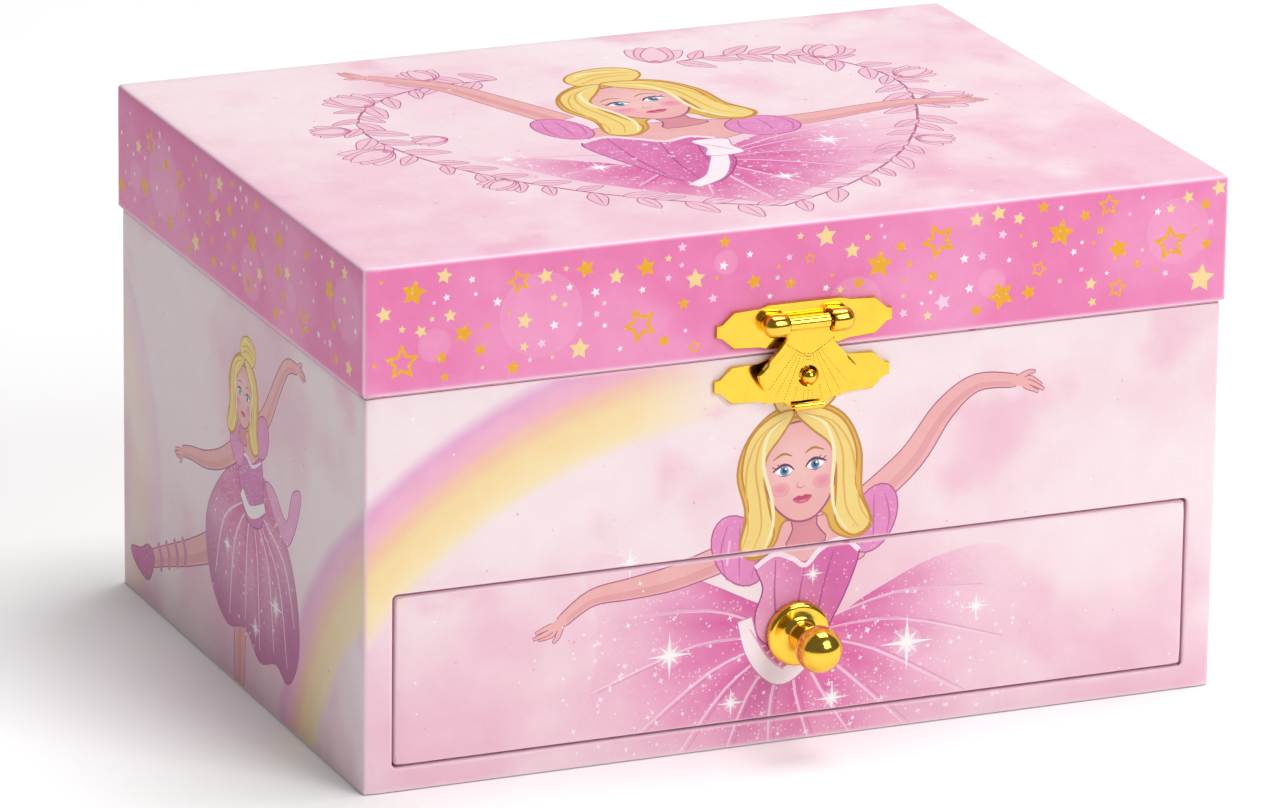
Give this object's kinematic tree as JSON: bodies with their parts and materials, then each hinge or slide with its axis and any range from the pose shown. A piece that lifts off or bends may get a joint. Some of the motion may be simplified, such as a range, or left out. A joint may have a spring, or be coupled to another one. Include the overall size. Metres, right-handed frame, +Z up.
{
  "type": "musical jewellery box",
  "caption": "Small hinged chest with a turning dancer on a wind-up movement, a lidded tray with ring rolls, a mirror, a clasp and a drawer with a ball knob.",
  "frame": {"origin": "middle of the base panel's underside", "axes": "+Z up, the clasp and the drawer face -Y, +X to the right seen from the front"},
  "size_m": [0.16, 0.1539, 0.093],
  "materials": {
    "board": "fine-grained fibreboard, covered with paper where it shows",
    "body_print": null,
    "lid_print": null,
    "brass": "polished brass plating",
    "steel": "bright steel",
    "cast_metal": "die-cast zinc, slightly grainy",
    "velvet": "soft pink velvet over foam",
    "lining_card": "card flocked in pink",
    "mirror_glass": "silvered acrylic mirror",
    "doll_plastic": "moulded and painted plastic figure",
    "tulle": "gathered tulle net",
    "white_plastic": "moulded plastic"
  },
  "bodies": {
    "carcass": {"base_panel": "board", "left_side": "board", "right_side": "board", "back_panel": "board", "front_panel": "board", "tray_floor": "lining_card", "drawer_bay_wall": "board", "body_cover_paper": "body_print", "tray_divider_long": "lining_card", "tray_divider_cross": "lining_card", "ring_roll_1": "velvet", "ring_roll_2": "velvet", "ring_roll_3": "velvet", "ring_roll_4": "velvet", "movement_bedplate": "cast_metal", "music_comb": "steel", "comb_screw_1": "steel", "comb_screw_2": "steel", "spring_housing": "steel", "mainspring": "steel", "governor_frame": "steel", "catch_plate": "brass", "catch_stud": "brass", "hinge_left_body_leaf": "brass", "hinge_left_pin": "steel", "hinge_right_body_leaf": "brass", "hinge_right_pin": "steel"},
    "lid": {"lid_top_panel": "board", "lid_front_rail": "board", "lid_back_rail": "board", "lid_left_rail": "board", "lid_right_rail": "board", "lid_cover_paper": "lid_print", "mirror_surround": "lining_card", "mirror": "mirror_glass", "hinge_left_lid_leaf": "brass", "hinge_right_lid_leaf": "brass", "hasp_plate": "brass", "hasp_pin": "brass"},
    "hasp": {"hasp_flap": "brass"},
    "drawer": {"drawer_front": "board", "drawer_front_paper": "body_print", "drawer_left_side": "board", "drawer_right_side": "board", "drawer_back": "board", "drawer_bottom": "board", "drawer_knob": "brass", "knob_screw": "steel"},
    "winding": {"winding_key": "brass", "winding_arbor": "steel", "great_wheel": "brass"},
    "cylinder": {"pinned_cylinder": "brass", "dancer_spindle": "steel", "turntable": "white_plastic", "dancer_spring": "steel", "dancer_figure": "doll_plastic", "dancer_skirt": "tulle"},
    "governor": {"governor_wheel": "brass"},
    "fly": {"air_brake_fly": "white_plastic"},
    "stop": {"stop_rod": "steel"}
  },
  "joints": [
    {"name": "lid_hinge", "type": "hinge", "parent": "carcass", "child": "lid", "pos_m": [0, 0.0622, 0.0704], "axis": [-1, 0, 0], "range_deg": [0, 95]},
    {"name": "hasp_hinge", "type": "hinge", "parent": "lid", "child": "hasp", "pos_m": [0, -0.0628, 0.0759], "axis": [-1, 0, 0], "range_deg": [0, 150]},
    {"name": "drawer_slide", "type": "slide", "parent": "carcass", "child": "drawer", "axis": [0, -1, 0], "range_m": [0, 0.065]},
    {"name": "key_turn", "type": "hinge", "parent": "carcass", "child": "winding", "pos_m": [0, 0, 0.021], "axis": [0, 1, 0], "continuous": true},
    {"name": "cylinder_spin", "type": "hinge", "parent": "carcass", "child": "cylinder", "pos_m": [0, 0.03345, 0], "axis": [0, 0, 1], "continuous": true},
    {"name": "governor_spin", "type": "hinge", "parent": "carcass", "child": "governor", "pos_m": [-0.0117, 0.03345, 0], "axis": [0, 0, 1], "continuous": true},
    {"name": "fly_spin", "type": "hinge", "parent": "carcass", "child": "fly", "pos_m": [-0.0183, 0, 0.0127], "axis": [0, 1, 0], "continuous": true},
    {"name": "stop_rod_slide", "type": "slide", "parent": "carcass", "child": "stop", "axis": [0, 0, 1], "range_m": [0, 0.003]}
  ],
  "couplings": [
    {"joint": "cylinder_spin", "follows": "key_turn", "ratio": 1.875},
    {"joint": "governor_spin", "follows": "key_turn", "ratio": -3},
    {"joint": "fly_spin", "follows": "key_turn", "ratio": -18},
    {"joint": "stop_rod_slide", "follows": "lid_hinge", "m_per_rad": 0.0018}
  ]
}
